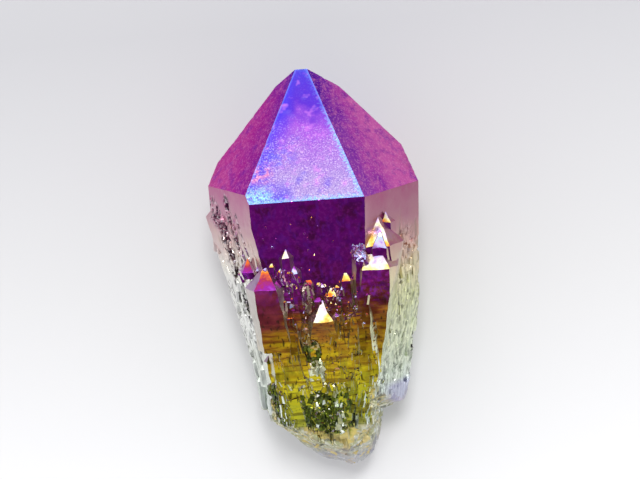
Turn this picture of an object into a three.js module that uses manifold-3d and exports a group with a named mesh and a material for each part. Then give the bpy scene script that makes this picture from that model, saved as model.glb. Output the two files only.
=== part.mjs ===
// A coated quartz point lying on its back. Millimetres, +Z up, apex towards +Y.
//
// The crystal is modelled in its own axes and then laid down: x runs across the front face,
// y along the long axis towards the apex, and z out of the front face. Every face is a plane:
// one of the six prism faces, one of the six tip faces, a prism face that leans in towards the
// root, or a break. A crystal is what lies behind all of its planes. The small crystals stand
// parallel to the large one, as they grew, and all of them are joined in one solid.

import * as THREE from 'three';
import { ConvexGeometry } from 'three/addons/geometries/ConvexGeometry.js';
import { mergeVertices } from 'three/addons/utils/BufferGeometryUtils.js';
import Module from 'manifold-3d';

const wasm = await Module();
wasm.setup();

// ---------------------------------------------------------------- driving dimensions

const DEG = Math.PI / 180;
const TIP_ANGLE = 51.79 * DEG;        // quartz: between the long axis and a tip face's normal
const REST_TILT = 10;                 // degrees between the long axis and the flat back it lies on

// Distances from the long axis: front, right front, right back, back, left back, left front.
const PRISM_REACH = [12.5, 13.2, 12.0, 11.7, 12.2, 12.5];
const TIP_REACH = [16.7, 17.2, 19.1, 16.9, 18.9, 17.4];
const SHOULDER_CHAMFER = { azimuth: 90, fromAxis: 62, reach: 18.6 };

// Prism faces that lean in towards the root: [azimuth, reach, height where it starts, degrees].
const REST_FLANK = [180, 11.7, 5.5, REST_TILT];
const FLANKS = [
  [0, 12.5, -4.0, 16],
  [60, 13.2, 11.0, 3.6],
  [60, 12.0, -5.5, 10.5],
  [120, 12.0, 11.0, 3],
  [120, 11.5, -5.0, 10.5],
  REST_FLANK,
  [240, 12.2, 8.0, 10.9],
  [300, 12.5, 8.0, 8.6],
];

// The broken root: [normal x, y, z, then a point of the plane x, y, z].
const LEFT_BREAKS = [
  [-0.70, -0.70, 0.12, -8.8, -20.4, 1.4],
  [-0.52, -0.71, 0.47, -1.9, -22.8, 7.2],
];
const ROOT_BREAKS = [
  ...LEFT_BREAKS,
  [-0.31, -0.81, 0.49, -1.9, -22.8, 7.2],
  [0.62, -0.60, 0.50, 3.0, -24.0, 6.9],
  [0.96, -0.25, 0.10, 6.1, -23.0, 1.4],
  [0.15, -0.94, -0.30, 1.4, -28.3, 0],
  [-0.55, -0.72, -0.42, -6.9, -22.5, -2.0],
];
// The right flank broke off higher than the root, which leaves a lobe.
const LOBE_BREAKS = [
  ...LEFT_BREAKS,
  [0.18, -0.98, 0.05, 8.3, -19.8, 0],
  [0.34, -0.80, 0.50, 9.0, -18.0, 4.6],
  [0.80, -0.55, -0.20, 10.9, -18.2, 0],
];

// Small crystals: [x, y of the tip, z, reach, lean towards the root in degrees, length].
const CORNER_CRYSTALS = [
  [-10.2, 13.3, 0.3, 4.15, 17, 34],
  [9.1, 8.2, 9.9, 2.8, 5, 13],
  [9.2, 6.6, 11.5, 1.7, 5, 9],
  [8.9, 5.1, 11.2, 2.9, 15, 20],
  [10.7, 8.5, 9.0, 1.0, 8, 5],
  [-6.1, 3.9, 11.3, 2.3, 14, 12],
  [-8.3, 3.1, 9.7, 1.2, 10, 8],
  [11.6, 3.4, 4.8, 0.7, 6, 4],
  [12.1, 2.4, 3.7, 0.6, 6, 4],
  [12.6, 3.7, 2.9, 0.6, 6, 4],
];
const FACE_CRYSTALS = [
  [6.7, 4.6, 12.2, 1.2, 3, 14],
  [-2.7, 4.9, 12.3, 0.8, 6, 7],
  [1.5, -1.6, 11.7, 1.6, 20, 9],
  [2.7, -0.6, 12.2, 0.8, 6, 7],
  [4.9, 1.4, 12.2, 0.8, 5, 8],
  [4.0, 0.4, 12.1, 0.6, 5, 6],
  [-1.0, 0.8, 11.9, 0.9, 7, 13],
  [-3.7, 2.7, 12.3, 0.6, 6, 5],
  [-2.0, 3.0, 12.3, 0.7, 6, 6],
];
const RIBS = [
  [-5.3, -4.2, 10.4, 1.6, 13, 19],
  [-4.0, -5.4, 10.6, 1.5, 14, 18],
  [-2.7, -7.6, 9.9, 1.3, 14, 12],
  [-6.3, -9.0, 8.5, 1.4, 12, 14],
  [-4.1, -15.2, 8.2, 0.9, 13, 8],
  [-0.5, -6.2, 11.1, 0.9, 15, 6],
  [0.9, -7.2, 10.8, 0.8, 14, 9],
  [2.0, -5.2, 10.6, 1.4, 14, 9.5],
  [3.2, -8.6, 9.9, 1.2, 14, 7],
  [2.5, -9.4, 10.2, 0.7, 14, 6],
  [4.4, -4.6, 10.7, 1.5, 14, 13],
  [4.9, -13.4, 8.9, 0.8, 14, 8],
  [5.7, -7.9, 10.1, 1.4, 13, 12],
  [6.9, -8.8, 10.6, 0.9, 12, 12],
  [7.0, -3.4, 10.8, 1.7, 12, 20],
  [8.2, -6.4, 9.4, 1.4, 11, 18],
];
// The share of its lean that each prism face of a small crystal takes, where it faces outwards.
const FACE_LEAN = [1, 0.65, 0.65, 0.65, 0.65, 0.6];
const FACING_GAIN = 1.6;

// Small crystals sown over an area: [count, azimuth from, to, height from, to, reach from, to].
const SOWN = [
  [24, -24, 28, -5.0, 1.8, 0.40, 0.80],
  [10, 24, 38, -3.0, 4.0, 0.45, 0.85],
  [8, -36, -24, -3.0, 3.0, 0.40, 0.75],
  [30, -18, 22, -22.0, -13.0, 0.30, 0.65],
  [10, -34, 40, -20.0, -8.0, 0.40, 0.80],
  [8, 48, 90, -8.0, 2.0, 0.40, 0.70],
  [8, 50, 96, -18.0, -6.0, 0.50, 0.90],
  [8, -96, -40, -18.0, 0.0, 0.50, 0.80],
  [16, 100, 150, -17.0, 6.0, 0.70, 1.40],
  [16, -150, -100, -17.0, 6.0, 0.70, 1.40],
];
const SOWN_PROUD = [0.2, 0.7];        // of the crystal's reach, above the surface it grows from
const SOWN_LEAN = [6, 14];            // degrees
const SOWN_LENGTH = [4, 9];           // of the crystal's reach

// Pits left between crystals: [count, azimuth from, to, height from, to].
const PITS = [
  [9, -90, -82, -12.0, 7.0],
  [11, -70, -60, -13.0, 6.0],
  [8, -50, -44, -12.0, 4.0],
  [12, 58, 86, -16.0, 2.0],
  [9, 104, 140, -15.0, 4.0],
  [9, -140, -104, -15.0, 4.0],
];
const PIT_FLOOR_HALF_WIDTH = [0.07, 0.15];
const PIT_LENGTH = [1.2, 2.4];
const PIT_DEPTH = 0.5;
// Larger gaps: [azimuth, height, half width of the floor, length, depth].
const GAPS = [
  [-38, -17.0, 0.45, 4.0, 0.8],
  [-84, -12.8, 0.40, 1.6, 0.7],
  [86, -11.2, 0.40, 1.8, 0.6],
];
const GAP_END_SLOPE = 0.5;
const GAP_OPEN_REACH = 3;             // a gap is cut from its floor to well outside the surface

// ---------------------------------------------------------------- planes and solids

/** A plane is [normal x, y, z, distance]; a solid lies where normal . point <= distance. */
function planeThrough(normal, point) {
  const unit = new THREE.Vector3(...normal).normalize();
  return [unit.x, unit.y, unit.z, unit.dot(new THREE.Vector3(...point))];
}

function breakPlane(row) {
  return planeThrough(row.slice(0, 3), row.slice(3));
}

/** Prism face at an azimuth round the axis (x, z), leaning in by `lean` degrees below height y. */
function prismFace(azimuth, reach, y = 0, lean = 0, x = 0, z = 0) {
  const [sine, cosine] = [Math.sin(azimuth * DEG), Math.cos(azimuth * DEG)];
  const outward = Math.cos(lean * DEG);
  const normal = [sine * outward, -Math.sin(lean * DEG), cosine * outward];
  return planeThrough(normal, [x + reach * sine, y, z + reach * cosine]);
}

/** Face at an azimuth whose normal stands `fromAxis` off the long axis, `reach` from a point. */
function slopingFace(azimuth, fromAxis, reach, x = 0, y = 0, z = 0) {
  const outward = Math.sin(fromAxis);
  const normal = [outward * Math.sin(azimuth * DEG), Math.cos(fromAxis), outward * Math.cos(azimuth * DEG)];
  return [...normal, reach + normal[0] * x + normal[1] * y + normal[2] * z];
}

/** The corners of what lies behind all the planes: each three planes meet in one point. */
function cornersBehind(planes) {
  const tolerance = 1e-6;
  const corners = [];
  const matrix = new THREE.Matrix3();
  for (let i = 0; i < planes.length; i += 1) {
    for (let j = i + 1; j < planes.length; j += 1) {
      for (let k = j + 1; k < planes.length; k += 1) {
        const [a, b, c] = [planes[i], planes[j], planes[k]];
        matrix.set(a[0], a[1], a[2], b[0], b[1], b[2], c[0], c[1], c[2]);
        if (Math.abs(matrix.determinant()) < tolerance) continue;
        const corner = new THREE.Vector3(a[3], b[3], c[3]).applyMatrix3(matrix.invert());
        const { x, y, z } = corner;
        if (planes.every((p) => p[0] * x + p[1] * y + p[2] * z <= p[3] + tolerance)) corners.push(corner);
      }
    }
  }
  return corners;
}

/** A closed solid of flat faces, from its planes. */
function solidBehind(planes) {
  const hull = new ConvexGeometry(cornersBehind(planes));
  hull.deleteAttribute('normal');
  hull.deleteAttribute('uv');
  const closed = mergeVertices(hull, 1e-5);
  return new wasm.Manifold(new wasm.Mesh({
    numProp: 3,
    vertProperties: new Float32Array(closed.attributes.position.array),
    triVerts: new Uint32Array(closed.index.array),
  }));
}

// ---------------------------------------------------------------- the large crystal

const rootPlanes = ROOT_BREAKS.map(breakPlane);
const lobePlanes = LOBE_BREAKS.map(breakPlane);
const restPlane = prismFace(...REST_FLANK);
const bodyPlanes = [
  ...PRISM_REACH.map((reach, k) => prismFace(60 * k, reach)),
  ...TIP_REACH.map((reach, k) => slopingFace(60 * k, TIP_ANGLE, reach)),
  slopingFace(SHOULDER_CHAMFER.azimuth, SHOULDER_CHAMFER.fromAxis * DEG, SHOULDER_CHAMFER.reach),
  ...FLANKS.map((row) => prismFace(...row)),
];

/** Distance from the long axis to the large crystal's surface, at an azimuth and a height. */
function bodyReach(azimuth, y) {
  let reach = Infinity;
  for (const [nx, ny, nz, distance] of bodyPlanes) {
    const slope = nx * Math.sin(azimuth * DEG) + nz * Math.cos(azimuth * DEG);
    if (slope > 0) reach = Math.min(reach, (distance - ny * y) / slope);
  }
  return reach;
}

// ---------------------------------------------------------------- small crystals and gaps

/** A crystal parallel to the large one, its prism faces leaning in towards the root. */
function smallCrystal([x, y, z, reach, lean, length]) {
  const shoulder = y - reach * Math.tan(TIP_ANGLE);
  const outwards = Math.atan2(x, z);
  const planes = [[0, -1, 0, length - y], restPlane, ...rootPlanes];
  FACE_LEAN.forEach((share, k) => {
    const facing = Math.max(0, Math.cos(60 * k * DEG - outwards));
    const faceLean = lean * share * Math.min(1, FACING_GAIN * facing ** 2);
    planes.push(prismFace(60 * k, reach, shoulder, faceLean, x, z));
    planes.push(slopingFace(60 * k, TIP_ANGLE, 0, x, y, z));
  });
  return planes;
}

/** A gap between crystals: a wedge sunk in the surface, long along the axis and wider outside. */
function gap([azimuth, y, half, length, depth]) {
  const floor = bodyReach(azimuth, y) - depth;
  const [sine, cosine] = [Math.sin(azimuth * DEG), Math.cos(azimuth * DEG)];
  const [x, z] = [(floor + half) * sine, (floor + half) * cosine];
  const facing = Math.round(azimuth / 60) * 60;
  const slope = [-GAP_END_SLOPE * sine, -GAP_END_SLOPE * cosine];
  return [
    prismFace(facing, GAP_OPEN_REACH, y, 0, x, z),
    prismFace(facing + 120, half, y, 0, x, z),
    prismFace(facing - 120, half, y, 0, x, z),
    planeThrough([slope[0], 1, slope[1]], [x, y + length / 2, z]),
    planeThrough([slope[0], -1, slope[1]], [x, y - length / 2, z]),
  ];
}

let seed = 5;
/** The next number of a repeating series, between two ends. */
function between(low, high) {
  seed = (seed * 16807) % 2147483647;
  return low + (high - low) * seed / 2147483647;
}

function sownCrystal([, azimuthFrom, azimuthTo, yFrom, yTo, reachFrom, reachTo]) {
  const azimuth = between(azimuthFrom, azimuthTo);
  const y = between(yFrom, yTo);
  const reach = between(reachFrom, reachTo);
  const proud = between(...SOWN_PROUD) * reach;
  const middle = bodyReach(azimuth, y - reach) + proud - reach;
  const lean = between(...SOWN_LEAN);
  const length = between(...SOWN_LENGTH) * reach;
  return smallCrystal([
    middle * Math.sin(azimuth * DEG), y, middle * Math.cos(azimuth * DEG), reach, lean, length]);
}

function sownPit([, azimuthFrom, azimuthTo, yFrom, yTo]) {
  const azimuth = between(azimuthFrom, azimuthTo);
  const y = between(yFrom, yTo);
  const half = between(...PIT_FLOOR_HALF_WIDTH);
  return gap([azimuth, y, half, between(...PIT_LENGTH), PIT_DEPTH]);
}

/** One list of planes for each thing sown over the areas. */
function sow(areas, make) {
  return areas.flatMap((area) => Array.from({ length: area[0] }, () => make(area)));
}

// ---------------------------------------------------------------- one grown piece

function growPoint() {
  const root = [...bodyPlanes, ...rootPlanes];
  const placed = [...CORNER_CRYSTALS, ...FACE_CRYSTALS, ...RIBS].map(smallCrystal);
  let point = solidBehind([...bodyPlanes, ...lobePlanes]);
  for (const planes of [root, ...placed, ...sow(SOWN, sownCrystal)]) point = point.add(solidBehind(planes));
  for (const planes of [...sow(PITS, sownPit), ...GAPS.map(gap)]) point = point.subtract(solidBehind(planes));
  // A gap can cut a chip loose, so only the large piece is kept.
  return point.decompose().reduce((a, b) => (a.volume() > b.volume() ? a : b));
}

function geometryOf(solid) {
  const mesh = solid.getMesh();
  const geometry = new THREE.BufferGeometry();
  geometry.setAttribute('position', new THREE.BufferAttribute(mesh.vertProperties, mesh.numProp));
  geometry.setIndex(new THREE.BufferAttribute(mesh.triVerts, 1));
  geometry.computeVertexNormals();
  return geometry;
}

const coatedQuartz = new THREE.MeshStandardMaterial({ color: '#7d3a9a', roughness: 0.25, metalness: 0.6 });
const point = new THREE.Mesh(geometryOf(growPoint()), coatedQuartz);
point.name = 'aura_quartz_point';
point.rotation.x = REST_TILT * DEG;

// The origin is under the middle of the crystal, on the surface that it lies on.
const specimen = new THREE.Group();
specimen.add(point);
specimen.updateMatrixWorld(true);
const box = new THREE.Box3().setFromObject(point, true);
specimen.position.set(-(box.min.x + box.max.x) / 2, -(box.min.y + box.max.y) / 2, -box.min.z);
specimen.updateMatrixWorld(true);

export default specimen;
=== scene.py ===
"""A quartz point with a rainbow film, lying on its back on a pale floor."""

import functools
import itertools
import math

import bmesh
import bpy
import numpy as np
from mathutils import Matrix, Vector
from mathutils.bvhtree import BVHTree


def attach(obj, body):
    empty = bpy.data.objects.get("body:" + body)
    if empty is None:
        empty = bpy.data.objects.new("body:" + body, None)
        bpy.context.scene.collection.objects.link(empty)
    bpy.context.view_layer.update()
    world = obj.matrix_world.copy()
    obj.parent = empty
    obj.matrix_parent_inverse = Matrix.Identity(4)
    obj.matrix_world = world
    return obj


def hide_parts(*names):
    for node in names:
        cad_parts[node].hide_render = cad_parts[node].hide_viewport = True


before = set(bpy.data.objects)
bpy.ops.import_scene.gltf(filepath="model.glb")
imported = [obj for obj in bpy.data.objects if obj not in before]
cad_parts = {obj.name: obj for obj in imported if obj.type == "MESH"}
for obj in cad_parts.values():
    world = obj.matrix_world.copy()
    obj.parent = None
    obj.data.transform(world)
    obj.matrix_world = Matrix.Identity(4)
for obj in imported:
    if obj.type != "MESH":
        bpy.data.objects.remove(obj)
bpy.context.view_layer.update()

# ------------------------------------------------------------------ the large crystal
# One quartz crystal, 55 mm long: six prism faces, six tip faces and a broken root. It grew in
# water and was never cut, so its faces are planes with low growth relief, and its flanks are
# pitted. The thin metal film on it was laid on hot and in vacuum. Millimetres in its own axes:
# x across the front face, y along the long axis to the apex, z out of the front face.

MM = 0.001
REST_TILT = math.radians(10)  # between the long axis and the flat back that it lies on
AXES_AT = np.array([0.2214, 0.7045, 10.5672])  # where those axes meet, above the floor

TIP_ANGLE = math.radians(51.79)  # quartz: between the long axis and a tip face's normal
PRISM_REACH = [12.5, 13.2, 12.0, 11.7, 12.2, 12.5]
TIP_REACH = [16.7, 17.2, 19.1, 16.9, 18.9, 17.4]
SHOULDER_CHAMFER = (90, math.radians(62), 18.6)
REST_FLANK = (180, 11.7, 5.5, 10)
FLANKS = [
    (0, 12.5, -4.0, 16),
    (60, 13.2, 11.0, 3.6),
    (60, 12.0, -5.5, 10.5),
    (120, 12.0, 11.0, 3),
    (120, 11.5, -5.0, 10.5),
    REST_FLANK,
    (240, 12.2, 8.0, 10.9),
    (300, 12.5, 8.0, 8.6),
]
LEFT_BREAKS = [
    (-0.70, -0.70, 0.12, -8.8, -20.4, 1.4),
    (-0.52, -0.71, 0.47, -1.9, -22.8, 7.2),
]
ROOT_BREAKS = [
    *LEFT_BREAKS,
    (-0.31, -0.81, 0.49, -1.9, -22.8, 7.2),
    (0.62, -0.60, 0.50, 3.0, -24.0, 6.9),
    (0.96, -0.25, 0.10, 6.1, -23.0, 1.4),
    (0.15, -0.94, -0.30, 1.4, -28.3, 0),
    (-0.55, -0.72, -0.42, -6.9, -22.5, -2.0),
]
LOBE_BREAKS = [
    *LEFT_BREAKS,
    (0.18, -0.98, 0.05, 8.3, -19.8, 0),
    (0.34, -0.80, 0.50, 9.0, -18.0, 4.6),
    (0.80, -0.55, -0.20, 10.9, -18.2, 0),
]


def apart(azimuth, other):
    """Degrees between two directions round the axis, at most 180."""
    return np.abs((np.asarray(azimuth) - other + 180) % 360 - 180)


def outward(turn):
    """The unit vector square to the long axis at an angle round it, or an array of them."""
    turn = np.asarray(turn, float)
    return np.stack([np.sin(turn), 0 * turn, np.cos(turn)], -1)


def through(normal, point):
    """The plane through a point: its unit normal, and that normal's dot product with the point."""
    unit = np.array(normal, float) / np.linalg.norm(normal)
    return np.append(unit, unit @ np.array(point, float))


def prism_face(azimuth, reach, y=0, lean=0, x=0, z=0):
    """Faces outwards at an azimuth round the axis and leans in by some degrees below height y."""
    out, lean = outward(math.radians(azimuth)), math.radians(lean)
    return through(out * math.cos(lean) - (0, math.sin(lean), 0), out * reach + (x, y, z))


def sloping_face(azimuth, from_axis, reach, x=0, y=0, z=0):
    """Its normal stands from_axis off the long axis, and it lies at reach from the point."""
    normal = outward(math.radians(azimuth)) * math.sin(from_axis) + (0, math.cos(from_axis), 0)
    return np.append(normal, reach + normal @ (x, y, z))


body_planes = np.array(
    [prism_face(60 * k, reach) for k, reach in enumerate(PRISM_REACH)]
    + [sloping_face(60 * k, TIP_ANGLE, reach) for k, reach in enumerate(TIP_REACH)]
    + [sloping_face(*SHOULDER_CHAMFER)]
    + [prism_face(*row) for row in FLANKS]
)
root_planes = np.array([through(row[:3], row[3:]) for row in ROOT_BREAKS])
lobe_planes = np.array([through(row[:3], row[3:]) for row in LOBE_BREAKS])
rest_plane = prism_face(*REST_FLANK)
FIRST_TIP, LAST_TIP = len(PRISM_REACH), len(PRISM_REACH) + len(TIP_REACH)
FRONT_FLANK = LAST_TIP + 1


def body_reach(azimuth, y):
    """Distance from the axis to the nearest body plane, at an azimuth in degrees and a height."""
    slope = body_planes[:, :3] @ outward(math.radians(azimuth))
    room = body_planes[:, 3] - body_planes[:, 1] * y
    outwards = slope > 1e-6
    return (room[outwards] / slope[outwards]).min()


def series(seed):
    """A repeating series of numbers from 0 to 1: each is the last one times 16807, cut to 31 bits."""
    while True:
        seed = seed * 16807 % 2147483647
        yield seed / 2147483647


draws = series(5)


def between(low, high):
    """The next number of the series, spread from low to high."""
    return low + (high - low) * next(draws)


# The small crystals: x, height of the tip, z, reach, lean in degrees, length, and film tint. The
# tint, from 0 to 1, picks the colour of the tip faces.
CORNER_CRYSTALS = [
    (-10.2, 13.3, 0.3, 4.15, 17, 34, 0.62),
    (9.1, 8.2, 9.45, 3.0, 4, 12, 0.0),
    (9.5, 6.2, 11.15, 1.6, 4, 9, 0.62),
    (8.7, 5.6, 10.8, 3.1, 13, 18, -0.06),
    (10.4, 8.4, 8.8, 1.0, 8, 5, 0.0),
    (-5.95, 3.05, 11.9, 2.45, 15, 12, 0.25),
    (-8.4, 3.5, 9.6, 1.3, 30, 2.6, 0.25),
    (11.6, 3.4, 4.8, 0.7, 6, 4, 0.05),
    (12.1, 2.4, 3.7, 0.6, 6, 4, 0.15),
    (12.6, 3.7, 2.9, 0.6, 6, 4, 0.05),
]
FACE_CRYSTALS = [
    (6.8, 4.6, 12.2, 1.2, 3, 14, 0.60),
    (-2.9, 5.0, 12.3, 0.9, 6, 7, -0.04),
    (1.3, -2.1, 12.3, 2.1, 38, 7, -0.01),
    (2.6, -0.3, 12.2, 1.1, 6, 7, 0.03),
    (4.7, 1.5, 12.2, 1.0, 5, 8, 0.04),
    (4.0, 0.4, 12.1, 0.6, 5, 6, 0.22),
    (-3.7, 2.7, 12.3, 0.6, 6, 5, 0.62),
    (-2.0, 2.8, 12.4, 0.8, 5, 7, 0.52),
    (-4.0, 1.9, 12.3, 0.5, 6, 6, 0.04),
    (-3.1, 2.1, 12.4, 0.6, 6, 8, 0.10),
    (-2.9, -1.2, 12.3, 0.5, 6, 6, 0.16),
    (-5.0, 3.3, 12.2, 0.5, 6, 5, 0.02),
    (-3.1, -3.6, 12.0, 0.6, 6, 6, 0.10),
    (3.4, 0.0, 12.3, 0.5, 6, 6, 0.08),
    (4.5, -0.9, 12.3, 0.6, 6, 6, 0.05),
    (5.9, -1.4, 12.3, 0.5, 6, 6, 0.62),
    (6.8, -2.6, 12.2, 0.5, 6, 6, 0.12),
]
RIBS = [
    (-0.6, 0.6, 12.3, 0.80, 12, 16, 1.50),
    (-5.3, -4.2, 10.4, 1.6, 13, 19, 0.90),
    (-4.0, -5.4, 10.6, 1.5, 14, 18, 0.85),
    (-2.7, -7.6, 9.9, 1.3, 14, 12, 0.95),
    (-6.3, -9.0, 8.5, 1.4, 12, 14, 0.35),
    (-4.1, -15.2, 8.2, 0.9, 13, 8, 0.30),
    (-0.5, -6.2, 11.1, 0.9, 15, 6, 0.90),
    (0.9, -7.2, 10.8, 0.8, 14, 9, 0.15),
    (2.0, -5.2, 10.6, 1.4, 14, 9.5, 0.90),
    (3.2, -8.6, 9.9, 1.2, 14, 7, 0.35),
    (2.5, -9.4, 10.2, 0.7, 14, 6, 0.15),
    (4.4, -4.6, 10.7, 1.5, 14, 13, 0.88),
    (4.9, -13.4, 8.9, 0.8, 14, 8, 0.30),
    (5.7, -7.9, 10.1, 1.4, 13, 12, 0.95),
    (6.9, -8.8, 10.6, 0.9, 12, 12, 0.10),
    (7.0, -3.4, 10.8, 1.7, 12, 20, 0.85),
    (8.2, -6.4, 9.4, 1.4, 11, 18, 0.30),
]
FACE_LEAN = [1, 0.65, 0.65, 0.65, 0.65, 0.6]  # the share of its lean that each prism face takes
FACING_GAIN = 1.6  # and how soon it takes that share as it turns outwards
# Smaller ones, sown over areas: count, azimuth from and to, height from and to, reach from and to.
SOWN = [
    (24, -24, 28, -5.0, 1.8, 0.40, 0.80),
    (10, 24, 38, -3.0, 4.0, 0.45, 0.85),
    (8, -36, -24, -3.0, 3.0, 0.40, 0.75),
    (30, -18, 22, -22.0, -13.0, 0.30, 0.65),
    (10, -34, 40, -20.0, -8.0, 0.40, 0.80),
    (8, 48, 90, -8.0, 2.0, 0.40, 0.70),
    (8, 50, 96, -18.0, -6.0, 0.50, 0.90),
    (8, -96, -40, -18.0, 0.0, 0.50, 0.80),
    (16, 100, 150, -17.0, 6.0, 0.70, 1.40),
    (16, -150, -100, -17.0, 6.0, 0.70, 1.40),
]
SOWN_PROUD = (0.2, 0.7)  # in reaches, as their length is
SOWN_LEAN = (6, 14)
SOWN_LENGTH = (4, 9)
TINT_PER_DEGREE, TINT_PER_MM = 0.37, 0.61  # far enough on that neighbours differ


def sown_crystal(row):
    """A crystal at a place drawn in the row's area, standing a little proud of the surface."""
    azimuth, y, reach = (between(*row[k:k + 2]) for k in (1, 3, 5))
    proud = between(*SOWN_PROUD) * reach
    middle = body_reach(azimuth, y - reach) + proud - reach
    lean, length = between(*SOWN_LEAN), between(*SOWN_LENGTH) * reach
    x, _, z = middle * outward(math.radians(azimuth))
    tint = (azimuth * TINT_PER_DEGREE + y * TINT_PER_MM) % 1
    return (x, y, z, reach, lean, length, tint)


sown = [sown_crystal(row) for row in SOWN for _ in range(row[0])]

END_FACE, SIDE_BREAK = 99, 100  # kinds of face, after 0 to 5 for the prism and 6 to 11 for the tip
SIDEWAYS = 0.8  # a cut whose normal has more than this along x is a side break


def crystal_planes(x, y, z, reach, lean, length):
    """Six prism faces that lean in where they face outwards, six tip faces, an end and the cuts."""
    shoulder = y - reach * math.tan(TIP_ANGLE)
    outwards = math.degrees(math.atan2(x, z))
    planes = [np.array([0, -1, 0, length - y]), rest_plane, *root_planes]
    kinds = [SIDE_BREAK if abs(plane[0]) > SIDEWAYS else END_FACE for plane in planes]
    for k, share in enumerate(FACE_LEAN):
        facing_out = max(0.0, math.cos(math.radians(60 * k - outwards)))
        face_lean = lean * share * min(1, FACING_GAIN * facing_out ** 2)
        planes.append(prism_face(60 * k, reach, shoulder, face_lean, x, z))
        planes.append(sloping_face(60 * k, TIP_ANGLE, 0, x, y, z))
        kinds += [k, k + 6]
    return np.array(planes), np.array(kinds)


# Gaps between crystals: azimuth, height, half width of the floor, length, depth.
GAPS = [(-38, -17.0, 0.45, 4.0, 0.8), (-84, -12.8, 0.40, 1.6, 0.7), (86, -11.2, 0.40, 1.8, 0.6)]
GAP_END_SLOPE = 0.5
GAP_OPEN_REACH = 3
GAP_HALF_ARC = 12  # degrees to each side of a gap in which rays can meet it


def gap_planes(azimuth, y, half, length, depth):
    """A wedge sunk in the surface: two sides, two ends that open outwards, and a lid well outside."""
    out, facing = outward(math.radians(azimuth)), round(azimuth / 60) * 60
    x, _, z = out * (surface_reach(azimuth, y) - depth + half)
    ends = [through(out * -GAP_END_SLOPE + (0, s, 0), (x, y + s * length / 2, z)) for s in (1, -1)]
    sides = [prism_face(facing + turned, half, y, 0, x, z) for turned in (120, -120)]
    return np.array([prism_face(facing, GAP_OPEN_REACH, y, 0, x, z), *sides, *ends])


# The surface is found by rays from a core on the long axis. They fan out round the root, stand
# square to the axis along the shaft, and fan in again to the apex. They are closer in front.
CORE = (-17.0, 10.0)
ROOT_ROWS, SHAFT_ROWS, TIP_ROWS = 68, 136, 126
FRONT_ARC, FRONT_COLUMNS, BACK_COLUMNS = 200, 210, 90

polar = np.radians(np.concatenate([
    np.linspace(180, 90, ROOT_ROWS, endpoint=False), np.full(SHAFT_ROWS, 90.0),
    np.linspace(90, 0, TIP_ROWS + 1)[1:]]))
core_y = np.concatenate([
    np.full(ROOT_ROWS, CORE[0]), np.linspace(*CORE, SHAFT_ROWS), np.full(TIP_ROWS, CORE[1])])
azimuths = np.radians(np.concatenate([
    np.linspace(-FRONT_ARC / 2, FRONT_ARC / 2, FRONT_COLUMNS, endpoint=False),
    np.linspace(FRONT_ARC / 2, 360 - FRONT_ARC / 2, BACK_COLUMNS, endpoint=False)]))
ROWS, COLUMNS = len(polar), len(azimuths)
rays = (
    np.sin(polar)[:, None, None] * outward(azimuths) + np.cos(polar)[:, None, None] * (0, 1, 0))


def crossing(planes, columns=slice(None)):
    """Where rays enter and leave what lies behind the planes, and through which plane each does.

    A ray meets a plane at (distance - normal . origin) / (normal . direction). It is inside between
    the last plane that it meets going in and the first that it meets going out."""
    speed = rays[:, columns] @ planes[:, :3].T
    room = planes[:, 3] - core_y[:, None, None] * planes[:, 1]
    with np.errstate(divide="ignore", invalid="ignore"):
        at = room / speed
    leaves = np.where(speed > 1e-9, at, np.inf)
    enters = np.where(speed < -1e-9, at, -np.inf)
    return enters.max(-1), enters.argmax(-1), leaves.min(-1), leaves.argmin(-1)


_, _, reach, plane = crossing(np.concatenate([body_planes, root_planes]))
_, _, lobe_reach, lobe_plane = crossing(np.concatenate([body_planes, lobe_planes]))
all_planes = np.concatenate([body_planes, root_planes, lobe_planes])
lobe_plane = np.where(lobe_plane < len(body_planes), lobe_plane, lobe_plane + len(root_planes))
plane = np.where(lobe_reach > reach, lobe_plane, plane)
reach = np.maximum(reach, lobe_reach)
hit_plane = all_planes[plane]

# The largest side crystal, on the left flank, is part of the same surface.
left_planes, left_kinds = crystal_planes(*CORNER_CRYSTALS[0][:6])
left_enters, _, left_reach, left_plane = crossing(left_planes)
on_left = (left_enters < left_reach) & (left_reach > reach)
hit_plane = np.where(on_left[..., None], left_planes[left_plane], hit_plane)
reach = np.where(on_left, left_reach, reach)
shaft_rows = slice(ROOT_ROWS, ROOT_ROWS + SHAFT_ROWS)
surface = reach[shaft_rows].copy()


def surface_reach(azimuth, y):
    """Distance from the axis to the surface as it is before the pits, at the nearest ray."""
    column = apart(np.degrees(azimuths), azimuth).argmin()
    return surface[np.abs(core_y[shaft_rows] - y).argmin(), column]


pit_depth = np.zeros((ROWS, COLUMNS))
for row in GAPS:
    planes = gap_planes(*row)
    columns = np.flatnonzero(apart(np.degrees(azimuths), row[0]) < GAP_HALF_ARC)
    enters, entry_plane, leaves, _ = crossing(planes, columns)
    surface_here = reach[:, columns]
    cut = (enters > 0) & (enters < leaves) & (enters < surface_here) & (leaves > surface_here)
    rows_cut, columns_cut = np.nonzero(cut)
    where = (rows_cut, columns[columns_cut])
    pit_depth[where] = np.maximum(pit_depth[where], reach[where] - enters[cut])
    reach[where] = enters[cut]
    hit_plane[where] = -planes[entry_plane[cut]]

hits = rays * reach[..., None]
hits[..., 1] += core_y[:, None]

EDGE_PULL = 0.03  # how much a corner is held to the middle of its four rays


def four(per_ray):
    """The values of the four rays round each corner."""
    nearer = np.roll(per_ray, -1, 1)
    return np.stack([per_ray[:-1], per_ray[1:], nearer[:-1], nearer[1:]])


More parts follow.
